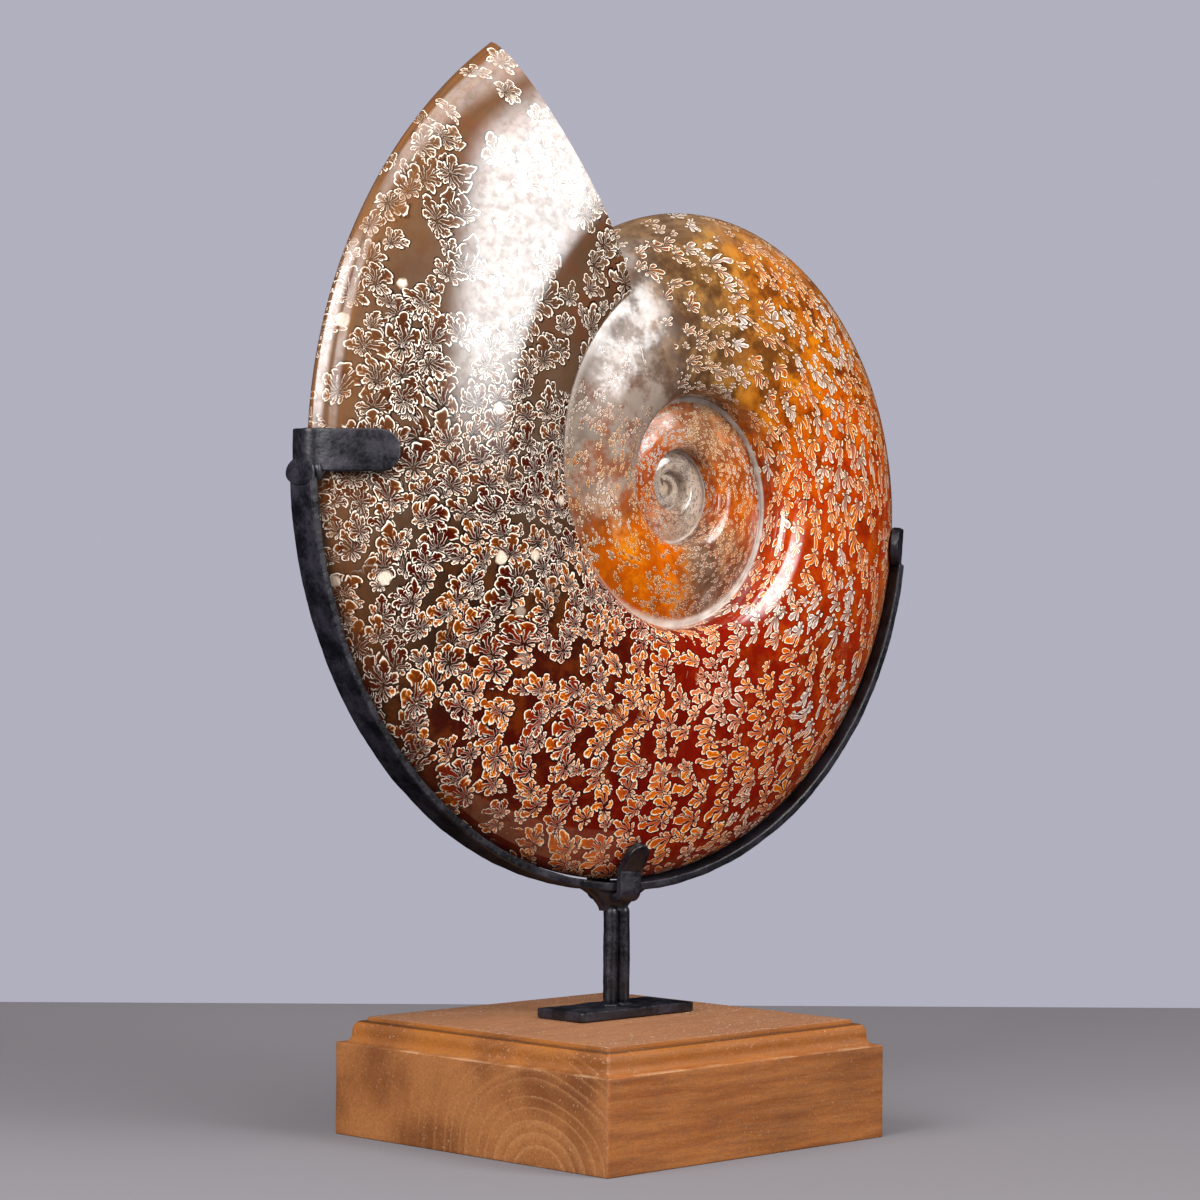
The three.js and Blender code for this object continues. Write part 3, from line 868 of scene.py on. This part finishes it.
def leaf_layer():
    """One layer of leaves in staggered columns over what lies below. Each has a thin dark rim
    outside, a pale line, and a fill that glows near the line and at the tips of the fingers."""
    g, wires, close = new_group(
        "Leaf layer",
        {
            "vector": "place",
            "value": "seed heading palm frill width warmth presence",
            "colour": "below core glow line",
        },
        {"colour": "colour"},
    )
    place, seed, heading, palm, frill, width, warmth, presence, below, core, glow, line = wires
    x, y, _ = g.parts(place)
    column = {"W": g.math("FLOOR", x) + seed}
    rise = g.run("ShaderNodeTexWhiteNoise", "Value", column, noise_dimensions="1D") * 3
    leaf = g.use(
        suture_leaf(), place=g.join(x, y + rise), seed=seed, heading=heading, palm=palm, frill=frill
    )
    depth = leaf["depth"]
    tip = leaf["tip"]
    shown = g.band(leaf["chance"] - presence, 0.0, 0.02, 1.0, 0.0)
    shaded = g.blend(g.band(depth, *RIM) * shown * 0.97, below, RIM_COLOUR)
    heart = g.band(depth, width + HEART[0], width + HEART[1])
    fill = g.blend(g.band(tip + warmth, 0.4, 0.9) * (1.0 - heart * 0.8), core, glow)
    edge = g.band(depth, width * 0.7, width * 1.4, 1.0, 0.0) * g.band(tip, 0.2, 0.75, 0.25, 1.0)
    fill = g.blend(edge, fill, line)
    mask = g.band(depth, -EDGE_SOFTNESS, EDGE_SOFTNESS) * shown
    return close(colour=g.blend(mask, shaded, fill))


# Colours along the coil, by growth angle in degrees, as they look on a screen
GROUND = {
    118: (84, 58, 38), 150: (98, 74, 56), 175: (98, 76, 60), 200: (62, 42, 28), 216: (40, 18, 10),
    232: (78, 9, 1), 262: (122, 14, 1), 305: (140, 24, 2), 335: (164, 42, 3), 372: (184, 52, 1),
    398: (200, 88, 2), 420: (160, 88, 20), 440: (112, 78, 44), 458: (84, 62, 46), 482: (150, 134, 122),
    545: (140, 122, 108), 562: (140, 66, 12), 576: (206, 92, 1), 612: (208, 98, 2), 628: (110, 78, 58),
    680: (116, 90, 72), 705: (186, 76, 6), 750: (174, 76, 10), 790: (190, 150, 112),
    850: (196, 84, 10), 920: (200, 90, 14), 975: (190, 150, 120), 1018: (200, 180, 160),
}
MOTTLE = {
    118: (104, 64, 36), 190: (64, 38, 18), 216: (110, 54, 8), 262: (150, 32, 1), 335: (204, 90, 8),
    372: (226, 110, 4), 410: (244, 150, 12), 440: (196, 140, 62), 475: (120, 98, 84), 545: (190, 172, 156),
    576: (244, 150, 10), 612: (244, 150, 12), 640: (150, 118, 92), 705: (230, 124, 20), 1018: (180, 150, 120),
}
BLOTCH = {
    118: (120, 44, 14), 150: (84, 50, 28), 216: (40, 14, 6), 300: (70, 6, 1), 350: (92, 14, 1),
    400: (84, 24, 4), 425: (76, 44, 20), 450: (70, 44, 26), 480: (84, 62, 48), 560: (150, 70, 20),
    600: (170, 70, 2), 640: (80, 48, 28), 700: (130, 44, 4), 780: (120, 70, 40), 850: (150, 50, 2),
    1018: (90, 70, 60),
}
CORE = {
    118: (96, 68, 46), 150: (74, 42, 22), 180: (62, 14, 4), 212: (64, 8, 1), 232: (132, 30, 1),
    262: (190, 76, 6), 330: (192, 72, 4), 360: (188, 66, 2), 400: (176, 62, 2), 440: (110, 50, 8),
    480: (96, 66, 46), 560: (166, 66, 2), 620: (130, 62, 14), 700: (170, 62, 2), 800: (150, 96, 50),
    880: (180, 62, 3), 1018: (110, 86, 74),
}
GLOW = {
    118: (136, 106, 84), 165: (130, 86, 54), 195: (156, 92, 34), 225: (224, 124, 20), 245: (250, 144, 14),
    300: (255, 152, 12), 350: (255, 150, 16), 410: (240, 140, 20), 450: (160, 100, 40), 490: (134, 98, 72),
    580: (240, 146, 20), 640: (140, 98, 62), 710: (240, 144, 28), 800: (226, 186, 132), 900: (236, 132, 16),
    1018: (170, 150, 130),
}
LINE = {
    118: (246, 232, 214), 200: (254, 240, 222), 245: (255, 240, 214), 330: (255, 240, 208),
    390: (255, 230, 182), 440: (252, 232, 200), 480: (250, 240, 230), 580: (252, 216, 150),
    640: (240, 222, 202), 720: (252, 218, 168), 820: (250, 232, 208), 920: (252, 214, 156),
    1018: (230, 220, 210),
}
VENTER = {
    118: (122, 82, 46), 190: (104, 62, 30), 220: (60, 30, 16), 300: (120, 52, 18), 330: (176, 104, 50),
    400: (190, 120, 60), 440: (150, 116, 84), 478: (140, 118, 96), 1018: (140, 118, 96),
}
# How many of the leaves in a layer are there, by growth angle
BIG_LEAVES = {
    118: 0.6, 150: 0.65, 172: 0.97, 205: 0.9, 240: 0.9, 265: 0.97, 395: 0.92, 425: 0.6, 450: 0.6,
    468: 0.1, 490: 0.1, 510: 0.65, 560: 0.6, 640: 0.7, 1018: 0.7,
}
FILL_LEAVES = {
    118: 0.3, 150: 0.55, 172: 0.92, 205: 0.75, 235: 0.72, 265: 0.92, 390: 0.96, 425: 0.5, 450: 0.6,
    468: 0.05, 490: 0.05, 512: 0.6, 575: 0.3, 620: 0.6, 1018: 0.7,
}
COIL_SPAN = 900
# Silvery patches in the leaves: a painted sheen of the polish
SILVER_SHEEN = (226, 226, 232)
SILVER_SHEEN_CORE = (150, 122, 104)

# The plane that the leaves are laid out in
LEAF_SPREAD = 0.65
LEAF_START = 8.3
LEAF_WARPS = ((0.35, 1.2), (1.5, 0.4), (6.0, 0.09))
# Between these growth angles the leaves grow smaller against their whorl, where few are seen
LEAF_STEP = (468, 492)
LEAF_STEP_SCALE = 1.8

PALE_SPOTS_PER_METRE = 55


class ShellPlace:
    """Where a point of the shell lies, as wires: the place in the model, the way across and
    along its whorl, and the share of the coil that colours are looked up by, made uneven."""

    def __init__(self, g, spot):
        self.g = g
        self.spot = spot
        uv = g.run("ShaderNodeUVMap", 0, {}, uv_map="place")
        self.across, self.along, _ = g.parts(uv)
        self.grown = self.along - math.radians(APERTURE_ANGLE)
        self.cloud = g.noise(spot, 22, detail=3)
        uneven = (g.noise(spot, 9, detail=2) - 0.5) * 0.05 + (self.cloud - 0.5) * 0.045
        self.coil = self.grown / math.radians(COIL_SPAN) + uneven

    def colours(self, stops):
        """A ramp over the growth angle: stops hold screen colours or single values."""
        points = []
        for angle, value in stops.items():
            colour = srgb(*value) if isinstance(value, tuple) else (value, value, value)
            points.append(((angle - APERTURE_ANGLE) / COIL_SPAN, colour))
        return self.g.ramp(self.coil, points)

    def values(self, stops):
        return self.g.run("ShaderNodeSeparateColor", 0, {0: self.colours(stops)})

    def change(self, start, end, first=0.0, last=1.0):
        """A value that changes between two growth angles."""
        return self.g.band(self.along, math.radians(start), math.radians(end), first, last)

    def grain(self, scale, low, high, first=0.0, last=1.0, detail=2.0, roughness=0.5):
        """Soft-edged patches of noise."""
        return self.g.band(self.g.noise(self.spot, scale, detail, roughness), low, high, first, last)


def shell_ground(shell):
    """Cloudy stone under the leaves: three colours that change along the coil, in soft clouds,
    fine mottles and ragged blotches."""
    g = shell.g
    ground = shell.colours(GROUND)
    shadow = g.blend(0.5, ground, (0.01, 0.004, 0.002))
    ground = g.blend(g.band(shell.cloud, 0.35, 0.75, 0.0, 0.55), ground, shadow)
    mottle = shell.grain(120, 0.42, 0.66, detail=4, roughness=0.65)
    ground = g.blend(mottle * 0.5, ground, shell.colours(MOTTLE))
    blotch = shell.grain(75, 0.45, 0.62, detail=4, roughness=0.7) * shell.change(320, 400, 0.3, 0.8)
    return g.blend(blotch, ground, shell.colours(BLOTCH))


def leaf_plane(shell):
    """Lays the whorls out in a plane that keeps the leaves' shapes and makes them grow with the
    shell. In polar terms the distance is the exponential of the way out from the umbilicus, and
    the turn is the way along the coil. Gives the distance, the turn and the place."""
    g = shell.g
    outward = shell.across - shell.grown * SEAM_GROWTH
    distance = g.math("EXPONENT", outward * LEAF_SPREAD) * LEAF_START
    distance = distance * shell.change(*LEAF_STEP, 1.0, LEAF_STEP_SCALE)
    turn = shell.along * LEAF_SPREAD
    place = g.join(distance * g.math("COSINE", turn), distance * g.math("SINE", turn))
    for scale, amount in LEAF_WARPS:
        drift = g.vector("SUBTRACT", g.noise(place, scale, detail=1, output=1), (0.5, 0.5, 0.5))
        place = g.vector("ADD", place, g.scaled(drift, amount))
    return distance, turn, place


def shell_leaves(shell, below, turn, place):
    """Three layers of leaves, small ones lowest. Along the coil they turn from frilled leaves
    with dark hearts to plainer orange flames, silvery in patches, a painted sheen of the polish."""
    g = shell.g
    # silvery patches: a painted sheen of the polish, laid over the leaves' core and glow
    silver_sheen = shell.grain(34, 0.47, 0.57, detail=3, roughness=0.6) * 0.85 * shell.change(245, 310)
    width = shell.change(290, 380, 0.024, 0.031)
    shared = {
        "core": g.blend(silver_sheen, shell.colours(CORE), srgb(*SILVER_SHEEN_CORE)),
        "glow": g.blend(silver_sheen, shell.colours(GLOW), srgb(*SILVER_SHEEN)),
        "line": shell.colours(LINE),
        "warmth": shell.grain(60, 0.38, 0.6, -0.3, 0.2) + shell.change(215, 300, 0.0, 0.25),
        "heading": math.pi - turn,
        "palm": shell.change(200, 290, 0.32, 0.2),
        "frill": shell.change(215, 310, 1.0, 0.3),
    }
    big = shell.values(BIG_LEAVES)
    fill = shell.values(FILL_LEAVES)
    sparse = fill * g.band(g.noise(place, 0.7, detail=1), 0.3, 0.4) * shell.change(230, 300, 1.0, 0.6)
    sparse = g.high(sparse, fill * shell.change(330, 370))
    layer = leaf_layer()
    colour = below
    for moved, seed, line_width, presence in (
        (g.scaled(place, 1.6), 3.0, width * 1.25, sparse),
        (g.vector("ADD", place, (0.5, 0.31, 0.0)), 2.0, width, fill),
        (place, 1.0, width, big),
    ):
        painted = g.use(
            layer, below=colour, place=moved, seed=seed, width=line_width, presence=presence, **shared
        )
        colour = painted["colour"]
    return colour


def pale_spots(shell, colour):
    """Round cream spots near the aperture."""
    g = shell.g
    spots = {"Vector": shell.spot, "Scale": PALE_SPOTS_PER_METRE}
    spots = g.fill(g.node("ShaderNodeTexVoronoi"), spots)
    chosen = g.parts(Wire(g, spots.outputs["Color"]))[0]
    ragged = Wire(g, spots.outputs["Distance"]) + (g.noise(shell.spot, 500, detail=2) - 0.5) * 0.08
    pale = g.band(ragged, 0.12, 0.17, 1.0, 0.0) * g.band(chosen, 0.5, 0.51)
    return g.blend(pale * shell.change(190, 225, 0.85, 0.0), colour, srgb(240, 220, 198))


def disc_wires(shell):
    """The distance from the disc's middle plane and from its axis, in metres."""
    g = shell.g
    turn = math.radians(DISC_TURN)
    x, y, z = (part - centre * MM for part, centre in zip(g.parts(shell.spot), DISC_CENTRE))
    return y * math.cos(turn) - x * math.sin(turn), g.length(x, z)


def keel_and_seams(shell, colour, distance, turn):
    """Rust in drawn-out streaks along the keel, and a pale rim on both sides of each seam: pale
    stone with a painted highlight of the seam's rounded edge.
    """
    g = shell.g
    depth, out = disc_wires(shell)
    keel = g.band(abs(depth) + (shell.cloud - 0.5) * 0.02, 0.004, 0.017, 1.0, 0.0)
    keel = keel * g.band(out, 0.09, 0.11)
    drawn = g.noise(g.join(distance * 3, turn * 9, depth * 700), 1, detail=3)
    colour = g.blend(keel * g.band(drawn, 0.35, 0.7, 0.2, 0.75), colour, shell.colours(VENTER))
    # pale rim at each seam: pale stone with a painted highlight of the seam's rounded edge
    rim = g.band(shell.across, 0.028, 0.05, 1.0, 0.0)
    seam = g.math("EXPONENT", (shell.grown - math.tau) * -SEAM_GROWTH) * (SEAM_RADIUS * MM)
    margin = g.band(out / seam, 0.93, 0.975) * shell.change(474, 480)
    pale_rim_and_highlight_colour = g.blend(g.noise(shell.spot, 160, detail=2), srgb(150, 124, 106), srgb(255, 248, 240))
    return g.blend(g.high(rim, margin) * 0.9, colour, pale_rim_and_highlight_colour)


def aperture_face(shell, colour):
    """Pale filling within a thin dark wall, on the flat face of the aperture alone."""
    g = shell.g
    face = g.band(shell.across, -1.0, -0.99, 1.0, 0.0)
    cloudy = shell.grain(120, 0.35, 0.65, detail=4, roughness=0.6)
    filling = g.blend(cloudy, srgb(128, 100, 76), srgb(168, 138, 108))
    inset = [APERTURE_U + APERTURE_U_PER_MM * millimetres for millimetres in (1.5, 2.0)]
    return g.blend(face, colour, g.blend(g.band(shell.across, *inset), srgb(88, 60, 44), filling))


def shell_gloss(shell, surface):
    """A clear coat, scuffed in fine grains, over low swells that bend its reflections. On the
    inner whorls it is worn in patches, and the swells are higher."""
    g = shell.g
    scuffs = shell.grain(280, 0.32, 0.6, 0.6, 1.0, detail=3, roughness=0.7)
    worn = shell.grain(80, 0.42, 0.58, 0.1, 1.0, detail=4, roughness=0.7)
    worn = g.high(worn, shell.change(430, 470, 1.0, 0.0))
    coat = {
        "Roughness": shell.grain(60, 0.3, 0.8, 0.13, 0.26, detail=4, roughness=0.7),
        "Specular IOR Level": 0.1,
        "Coat Weight": scuffs * shell.change(440, 485, 1.0, 0.8) * worn,
        "Coat IOR": 1.7,
        "Coat Roughness": 0.05,
    }
    g.fill(surface, coat)
    swell = g.noise(shell.spot, 26, detail=1) + g.noise(shell.spot, 75, detail=1) * 0.4
    swell = swell * shell.change(420, 480, 1.0, 2.2)
    swell = swell + g.noise(shell.spot, 230, detail=2) * shell.change(660, 760, 0.06, 0.5)
    add_bump(g, surface, swell, strength=0.35, distance=0.0012)


def shell_material():
    """Polished fossil shell: frilled sutures under a clear gloss."""
    material, g, surface, spot = new_material("polished_fossil")
    shell = ShellPlace(g, spot)
    distance, turn, place = leaf_plane(shell)
    colour = shell_leaves(shell, shell_ground(shell), turn, place)
    colour = pale_spots(shell, colour)
    colour = keel_and_seams(shell, colour, distance, turn)
    g.feed(surface.inputs["Base Color"], aperture_face(shell, colour))
    shell_gloss(shell, surface)
    return material


def iron_material():
    """Black paint brushed on forged iron: near black with a cold tinge, dull lumps, and grey
    where the paint is thin."""
    material, g, surface, spot = new_material("blackened_iron")
    broad = g.noise(spot, 90, detail=3, roughness=0.6)
    fine = g.noise(spot, 700, detail=3, roughness=0.6)
    thin = g.band(broad * 0.7 + fine * 0.3, 0.38, 0.66)
    paint = {
        "Base Color": g.blend(thin, (0.003, 0.003, 0.005), (0.02, 0.017, 0.026)),
        "Roughness": g.band(fine * 0.5 + broad * 0.5, 0.35, 0.65, 0.3, 0.5),
    }
    g.fill(surface, paint)
    dents = g.noise(spot, 240, detail=2) * 0.6 + fine * 0.25
    add_bump(g, surface, dents, strength=0.5, distance=0.0009)
    return material


def wood_material():
    """Stained wood in the round: year rings about an axis along the grain, fibres drawn out along
    it, a richer stain in the moulding, pale dust on top, and a paler, greyer top face that is a
    painted sheen of the light from above."""
    material, g, surface, spot = new_material("stained_wood")
    x, y, z = g.parts(spot)

    def along_grain(along, aside, upward, detail=3, roughness=0.5):
        return g.noise(g.join(x * along, y * aside, z * upward), 1, detail, roughness)

    def line_around(height, share):
        return g.band(abs(z - height * MM), 0.0001, 0.0004, share, 0.0)

    sway = along_grain(6, 12, 12, detail=1)
    cloud = along_grain(14, 26, 26)
    streaks = along_grain(26, 170, 300, roughness=0.55)
    fibres = along_grain(130, 900, 900, roughness=0.6)
    radius = g.length(y - PITH[0] * MM, (z - PITH[1] * MM) * 1.1) + (sway - 0.5) * 0.022
    year = radius / (RING_SPACING * MM) + g.noise(g.join(radius * 160, 0.0), 1, detail=1) * 1.8
    ring = g.math("FRACT", year)
    late = g.band(ring, 0.45, 0.93) * g.band(ring, 0.93, 1.0, 1.0, 0.0)
    late = late * g.band(radius, 0.03, 0.085, 1.0, 0.1) * g.band(sway, 0.3, 0.6, 0.35, 1.0)
    top = g.band(z, (BASE_HEIGHT - 0.1) * MM, (BASE_HEIGHT - 0.02) * MM)
    ends = g.band(abs(x) - abs(y), -0.0002, 0.0002) * (1.0 - top)
    moulding = g.band(z, BASE_BLOCK_HEIGHT * MM, (BASE_BLOCK_HEIGHT + 0.8) * MM) * (1.0 - top)
    worn = line_around(BASE_BLOCK_HEIGHT - 0.2, 1.0) * g.band(g.noise(spot, 70, detail=3), 0.42, 0.62)
    pores = g.noise(spot, 1300, detail=2, roughness=0.7)
    dust = g.band(g.noise(spot, 1000, detail=1), 0.68, 0.72) * g.band(top, 0.0, 1.0, 0.2, 0.9)
    side_colour = g.blend(g.band(streaks, 0.3, 0.7), srgb(170, 104, 48), srgb(144, 80, 30))
    end_colour = g.blend(g.band(cloud, 0.35, 0.65), srgb(156, 98, 50), srgb(124, 70, 26))
    colour = g.blend(ends, side_colour, end_colour)
    for share, stain in (
        (g.band(cloud, 0.4, 0.75, 0.0, 0.4), (92, 50, 20)),
        (late * g.band(ends, 0.0, 1.0, 0.05, 0.3), (206, 150, 98)),
        # painted sheen: the top face made paler and greyer, as the light from above shows it
        (top * 0.6, (160, 116, 86)),
        (g.band(fibres, 0.4, 0.7, 0.0, 0.22), (66, 34, 12)),
        (moulding * g.band(cloud, 0.35, 0.6, 0.75, 0.3), (152, 86, 4)),
        (line_around(BASE_HEIGHT - FILLET_HEIGHT - 0.2, 0.7), (34, 16, 6)),
        (worn * 0.4, (214, 170, 128)),
        (g.band(pores, 0.3, 0.75, 0.0, 0.3), (58, 28, 10)),
        (dust * g.band(cloud, 0.35, 0.6, 0.4, 1.0), (232, 214, 196)),
    ):
        colour = g.blend(share, colour, srgb(*stain))
    g.fill(surface, {"Base Color": colour, "Roughness": g.band(fibres, 0.3, 0.7, 0.42, 0.6)})
    add_bump(g, surface, fibres, strength=0.3, distance=0.0004)
    return material


# Look, camera and light

BACKDROP_COLOUR = (0.44, 0.435, 0.52)
ROOM_COLOUR = (0.33, 0.33, 0.35)
# What the shell's gloss mirrors where there is no light
FLAG_COLOUR = (0.006, 0.006, 0.008)
FLOOR_COLOUR = (0.19, 0.178, 0.188)
TABLE_SIZE = (4.0, 0.9)
LIGHTS_AIM = (0.0, 0.0, 0.26)
SOFTBOX_FADE = 0.3
# Name, azimuth, elevation, distance, size, power: azimuth 0 is -Y and 90 is +X
SOFTBOXES = (
    ("key_window", 16, 25, 1.5, (0.8, 1.26), 40),
    ("strip_left", -84, 25, 1.3, (1.25, 1.1), 52),
    ("strip_front", -47, 24, 1.6, (0.4, 1.3), 8),
    ("overhead", -14, 64, 1.4, (2.0, 0.75), 20),
)


def direction(azimuth, elevation, ahead):
    """A unit vector in degrees of azimuth from the Y axis, which points ahead by 1 or -1."""
    a, e = math.radians(azimuth), math.radians(elevation)
    return Vector((math.sin(a) * math.cos(e), ahead * math.cos(a) * math.cos(e), math.sin(e)))


def make_camera():
    forward = direction(CAMERA_AZIMUTH, CAMERA_PITCH, 1)
    roll = math.radians(CAMERA_ROLL)
    right = forward.cross(Vector((0, 0, 1))).normalized()
    up = right.cross(forward)
    turned = right * math.cos(roll) + up * math.sin(roll)
    up = up * math.cos(roll) - right * math.sin(roll)
    data = bpy.data.cameras.new("camera")
    data.lens = CAMERA_LENS
    data.sensor_width = SENSOR_WIDTH
    data.clip_start = 0.01
    camera = bpy.data.objects.new("camera", data)
    bpy.context.scene.collection.objects.link(camera)
    axes = Matrix((turned, up, -forward)).transposed()
    camera.matrix_world = Matrix.Translation(CAMERA_PLACE) @ axes.to_4x4()
    bpy.context.scene.camera = camera


def softbox(name, azimuth, elevation, distance, size, power):
    """An area light whose borders fade out."""
    back = direction(azimuth, elevation, -1)
    data = bpy.data.lights.new(name, "AREA")
    data.shape = "RECTANGLE"
    data.size, data.size_y = size
    data.energy = power
    data.use_nodes = True
    g = Graph(data.node_tree)
    fade = 1.0
    for part in g.parts(g.run("ShaderNodeNewGeometry", "Parametric", {}))[:2]:
        fade = g.band(abs(part - 0.5), 0.5 - SOFTBOX_FADE, 0.5, 1.0, 0.0) * fade
    g.feed(data.node_tree.nodes["Emission"].inputs["Strength"], fade)
    light = bpy.data.objects.new(name, data)
    light.location = Vector(LIGHTS_AIM) + back * distance
    light.rotation_euler = (-back).to_track_quat("-Z", "Y").to_euler()
    bpy.context.scene.collection.objects.link(light)


def make_floor():
    """A table without gloss, which stays dark in what the shell mirrors."""
    bpy.ops.mesh.primitive_plane_add(size=1, rotation=(0, 0, math.radians(-CAMERA_AZIMUTH)))
    floor = bpy.context.object
    floor.name = "floor"
    floor.scale = (*TABLE_SIZE, 1)
    material, g, surface, _ = new_material("floor_paper")
    mirrored = g.run("ShaderNodeLightPath", "Is Glossy Ray", {})
    colour = g.blend(mirrored, FLOOR_COLOUR, FLAG_COLOUR)
    g.fill(surface, {"Base Color": colour, "Roughness": 0.6, "Specular IOR Level": 0})
    floor.data.materials.append(material)


def make_studio():
    """A plain backdrop for the camera, a grey room that lights, and dark flags for the gloss."""
    world = bpy.data.worlds.new("studio")
    world.use_nodes = True
    g = Graph(world.node_tree)
    path = g.node("ShaderNodeLightPath")
    colour = g.blend(Wire(g, path.outputs["Is Glossy Ray"]), ROOM_COLOUR, FLAG_COLOUR)
    colour = g.blend(Wire(g, path.outputs["Is Camera Ray"]), colour, BACKDROP_COLOUR)
    g.feed(world.node_tree.nodes["Background"].inputs["Color"], colour)
    bpy.context.scene.world = world
    for lamp in SOFTBOXES:
        softbox(*lamp)
    bpy.context.scene.view_settings.view_transform = "Standard"


make_camera()
make_floor()
make_studio()
make_ammonite(("polished_fossil", shell_material()))
make_stand(("blackened_iron", iron_material()))
make_plinth(("stained_wood", wood_material()))
